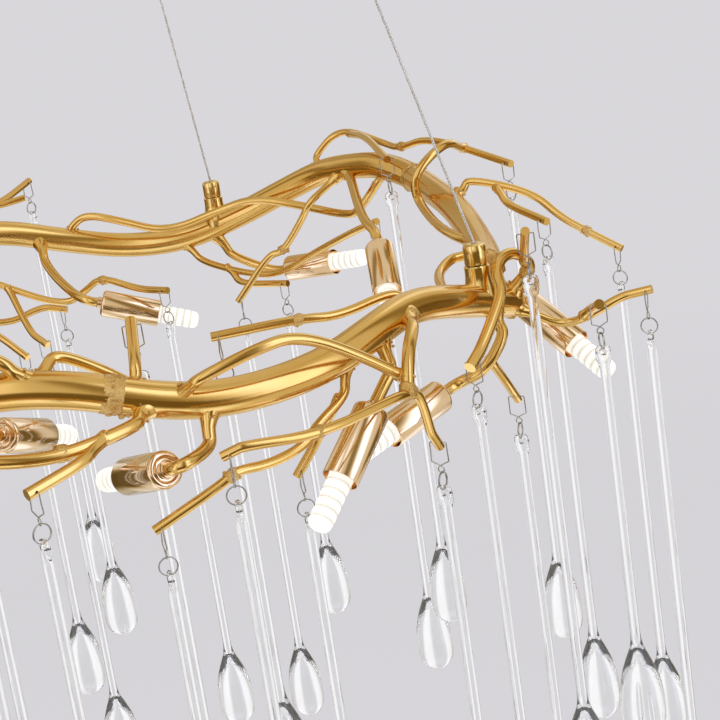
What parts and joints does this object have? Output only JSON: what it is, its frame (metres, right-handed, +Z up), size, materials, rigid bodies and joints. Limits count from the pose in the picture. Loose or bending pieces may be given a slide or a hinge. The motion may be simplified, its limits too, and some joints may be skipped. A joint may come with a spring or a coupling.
{
  "type": "ring chandelier",
  "caption": "Ring chandelier of welded gold branches with sleeved lamps, hung on cables from a canopy, with long glass drops that swing on wire clips.",
  "frame": {"origin": "centre of the mounting plate's top face, which lies flat against the ceiling", "axes": "+Z is up, out of the ceiling plate; +X is to the right and +Y away from the viewer in the picture, whose camera looks along +Y"},
  "size_m": [0.8225, 0.7817, 1.1346],
  "materials": {
    "clear_glass": "clear and polished, slightly rippled",
    "satin_gold": "satin gold lacquer over welded metal, with small weld beads at the joints",
    "bright_brass": "polished brass plating",
    "rose_gold": "mirror-bright champagne rose-gold plating",
    "white_ceramic": "matt white ceramic",
    "frosted_lamp": "ribbed white silicone that glows",
    "bare_steel": "bare stranded steel",
    "polished_chrome": "polished nickel plating",
    "zinc_steel": "plain zinc-plated steel",
    "painted_canopy": "satin gold paint",
    "white_plastic": "matt white plastic",
    "clear_plastic": "clear plastic"
  },
  "bodies": {
    "frame": {"back_branches": "satin_gold", "bulbs": "frosted_lamp", "cable_grippers": "polished_chrome", "cable_sockets": "bright_brass", "canopy_cover": "painted_canopy", "canopy_nuts": "polished_chrome", "canopy_studs": "zinc_steel", "ceiling_bracket": "zinc_steel", "climbing_vines": "satin_gold", "front_branches": "satin_gold", "lamp_arms": "satin_gold", "lamp_sleeves": "rose_gold", "lampholders": "white_ceramic", "lead_gland": "clear_plastic", "left_branches": "satin_gold", "right_branches": "satin_gold", "socket_caps": "bright_brass", "suspension_cables": "bare_steel", "terminal_block": "white_plastic", "trunk_back": "satin_gold", "trunk_front": "satin_gold", "trunk_front_left": "satin_gold", "trunk_left": "satin_gold", "trunk_right": "satin_gold"},
    "drop_01": {"drop_01": "clear_glass"},
    "drop_02": {"drop_02": "clear_glass"},
    "drop_03": {"drop_03": "clear_glass"},
    "drop_04": {"drop_04": "clear_glass"},
    "drop_05": {"drop_05": "clear_glass"},
    "drop_06": {"drop_06": "clear_glass"},
    "drop_07": {"drop_07": "clear_glass"},
    "drop_08": {"drop_08": "clear_glass"},
    "drop_09": {"drop_09": "clear_glass"},
    "drop_10": {"drop_10": "clear_glass"},
    "drop_11": {"drop_11": "clear_glass"},
    "drop_12": {"drop_12": "clear_glass"},
    "drop_13": {"drop_13": "clear_glass"},
    "drop_14": {"drop_14": "clear_glass"},
    "drop_15": {"drop_15": "clear_glass"},
    "drop_16": {"drop_16": "clear_glass"},
    "drop_17": {"drop_17": "clear_glass"},
    "drop_18": {"drop_18": "clear_glass"},
    "drop_19": {"drop_19": "clear_glass"},
    "drop_20": {"drop_20": "clear_glass"},
    "drop_21": {"drop_21": "clear_glass"},
    "drop_22": {"drop_22": "clear_glass"},
    "drop_23": {"drop_23": "clear_glass"},
    "drop_24": {"drop_24": "clear_glass"},
    "drop_25": {"drop_25": "clear_glass"},
    "drop_26": {"drop_26": "clear_glass"},
    "drop_27": {"drop_27": "clear_glass"},
    "drop_28": {"drop_28": "clear_glass"},
    "drop_29": {"drop_29": "clear_glass"},
    "drop_30": {"drop_30": "clear_glass"},
    "drop_31": {"drop_31": "clear_glass"},
    "drop_32": {"drop_32": "clear_glass"}
  },
  "joints": [
    {"name": "drop_01_swing", "type": "hinge", "parent": "frame", "child": "drop_01", "pos_m": [-0.03088, -0.36632, -0.64353], "axis": [-0.0025, -1, 0], "range_deg": [-9, 5]},
    {"name": "drop_02_swing", "type": "hinge", "parent": "frame", "child": "drop_02", "pos_m": [0.01348, -0.38109, -0.66378], "axis": [0.6302, -0.7764, 0], "range_deg": [-15, 10]},
    {"name": "drop_03_swing", "type": "hinge", "parent": "frame", "child": "drop_03", "pos_m": [0.06966, -0.32757, -0.71245], "axis": [0.2351, -0.972, 0], "range_deg": [-13, 15]},
    {"name": "drop_04_swing", "type": "hinge", "parent": "frame", "child": "drop_04", "pos_m": [0.11686, -0.34991, -0.66911], "axis": [0.108, -0.9942, 0], "range_deg": [-4, 15]},
    {"name": "drop_05_swing", "type": "hinge", "parent": "frame", "child": "drop_05", "pos_m": [0.23452, -0.26227, -0.7083], "axis": [0.8659, -0.5002, 0], "range_deg": [-15, 5]},
    {"name": "drop_06_swing", "type": "hinge", "parent": "frame", "child": "drop_06", "pos_m": [0.14991, -0.26072, -0.71325], "axis": [0.1839, -0.9829, 0], "range_deg": [-12, 7]},
    {"name": "drop_07_swing", "type": "hinge", "parent": "frame", "child": "drop_07", "pos_m": [0.11223, -0.23048, -0.63], "axis": [0.1488, -0.9889, 0], "range_deg": [-15, 15]},
    {"name": "drop_08_swing", "type": "hinge", "parent": "frame", "child": "drop_08", "pos_m": [0.067, -0.27567, -0.60567], "axis": [-0.9985, -0.0555, 0], "range_deg": [-15, 4]},
    {"name": "drop_09_swing", "type": "hinge", "parent": "frame", "child": "drop_09", "pos_m": [0.26589, -0.20269, -0.67854], "axis": [0.8023, -0.5969, 0], "range_deg": [-5, 7]},
    {"name": "drop_10_swing", "type": "hinge", "parent": "frame", "child": "drop_10", "pos_m": [0.29805, -0.1162, -0.73044], "axis": [0.9229, -0.3851, 0], "range_deg": [-9, 15]},
    {"name": "drop_11_swing", "type": "hinge", "parent": "frame", "child": "drop_11", "pos_m": [0.31288, -0.16322, -0.60915], "axis": [0.9996, -0.0292, 0], "range_deg": [-15, 4]},
    {"name": "drop_12_swing", "type": "hinge", "parent": "frame", "child": "drop_12", "pos_m": [0.39128, -0.13473, -0.66553], "axis": [-0.3256, -0.9455, 0], "range_deg": [-11, 15]},
    {"name": "drop_13_swing", "type": "hinge", "parent": "frame", "child": "drop_13", "pos_m": [0.356, -0.15084, -0.6665], "axis": [0.9913, 0.1315, 0], "range_deg": [-15, 15]},
    {"name": "drop_14_swing", "type": "hinge", "parent": "frame", "child": "drop_14", "pos_m": [0.39817, 0.00905, -0.66342], "axis": [0.5193, 0.8546, 0], "range_deg": [-15, 15]},
    {"name": "drop_15_swing", "type": "hinge", "parent": "frame", "child": "drop_15", "pos_m": [0.34461, -0.00228, -0.6332], "axis": [0.8623, 0.5064, 0], "range_deg": [-15, 15]},
    {"name": "drop_16_swing", "type": "hinge", "parent": "frame", "child": "drop_16", "pos_m": [0.33259, 0.08724, -0.60116], "axis": [0.8357, 0.5492, 0], "range_deg": [-12, 15]},
    {"name": "drop_17_swing", "type": "hinge", "parent": "frame", "child": "drop_17", "pos_m": [0.24055, 0.13001, -0.58957], "axis": [0.9871, 0.1601, 0], "range_deg": [-15, 1]},
    {"name": "drop_18_swing", "type": "hinge", "parent": "frame", "child": "drop_18", "pos_m": [0.10018, 0.23675, -0.70772], "axis": [0.0337, 0.9994, 0], "range_deg": [-3, 12]},
    {"name": "drop_19_swing", "type": "hinge", "parent": "frame", "child": "drop_19", "pos_m": [0.04007, 0.18425, -0.68016], "axis": [0.6335, 0.7738, 0], "range_deg": [-15, 10]},
    {"name": "drop_20_swing", "type": "hinge", "parent": "frame", "child": "drop_20", "pos_m": [-0.07167, 0.20648, -0.71424], "axis": [0.7154, 0.6987, 0], "range_deg": [-15, 10]},
    {"name": "drop_21_swing", "type": "hinge", "parent": "frame", "child": "drop_21", "pos_m": [0.22407, 0.16212, -0.64586], "axis": [0.7826, 0.6225, 0], "range_deg": [-1, 12]},
    {"name": "drop_22_swing", "type": "hinge", "parent": "frame", "child": "drop_22", "pos_m": [0.13943, 0.23702, -0.70071], "axis": [0.594, 0.8045, 0], "range_deg": [-15, 15]},
    {"name": "drop_23_swing", "type": "hinge", "parent": "frame", "child": "drop_23", "pos_m": [-0.05986, 0.25707, -0.6982], "axis": [0.1334, 0.9911, 0], "range_deg": [-15, 10]},
    {"name": "drop_24_swing", "type": "hinge", "parent": "frame", "child": "drop_24", "pos_m": [-0.08494, 0.17374, -0.71535], "axis": [0.5734, 0.8193, 0], "range_deg": [-15, 15]},
    {"name": "drop_25_swing", "type": "hinge", "parent": "frame", "child": "drop_25", "pos_m": [-0.08904, 0.37076, -0.59647], "axis": [-0.7876, 0.6162, 0], "range_deg": [-15, 13]},
    {"name": "drop_26_swing", "type": "hinge", "parent": "frame", "child": "drop_26", "pos_m": [-0.13243, -0.37042, -0.64773], "axis": [0.5974, -0.8019, 0], "range_deg": [-15, 15]},
    {"name": "drop_27_swing", "type": "hinge", "parent": "frame", "child": "drop_27", "pos_m": [-0.04992, -0.24528, -0.63311], "axis": [0.7611, -0.6486, 0], "range_deg": [-15, 5]},
    {"name": "drop_28_swing", "type": "hinge", "parent": "frame", "child": "drop_28", "pos_m": [-0.27783, -0.28651, -0.64476], "axis": [-0.8427, 0.5384, 0], "range_deg": [-15, 15]},
    {"name": "drop_29_swing", "type": "hinge", "parent": "frame", "child": "drop_29", "pos_m": [-0.18073, -0.17765, -0.63583], "axis": [0.2634, -0.9647, 0], "range_deg": [-15, 15]},
    {"name": "drop_30_swing", "type": "hinge", "parent": "frame", "child": "drop_30", "pos_m": [-0.3867, -0.08677, -0.66159], "axis": [-0.7258, 0.6879, 0], "range_deg": [-15, 15]},
    {"name": "drop_31_swing", "type": "hinge", "parent": "frame", "child": "drop_31", "pos_m": [-0.2464, -0.01099, -0.66022], "axis": [-0.4406, -0.8977, 0], "range_deg": [-15, 15]},
    {"name": "drop_32_swing", "type": "hinge", "parent": "frame", "child": "drop_32", "pos_m": [-0.38665, 0.06909, -0.65101], "axis": [-0.0445, 0.999, 0], "range_deg": [-15, 15]}
  ]
}
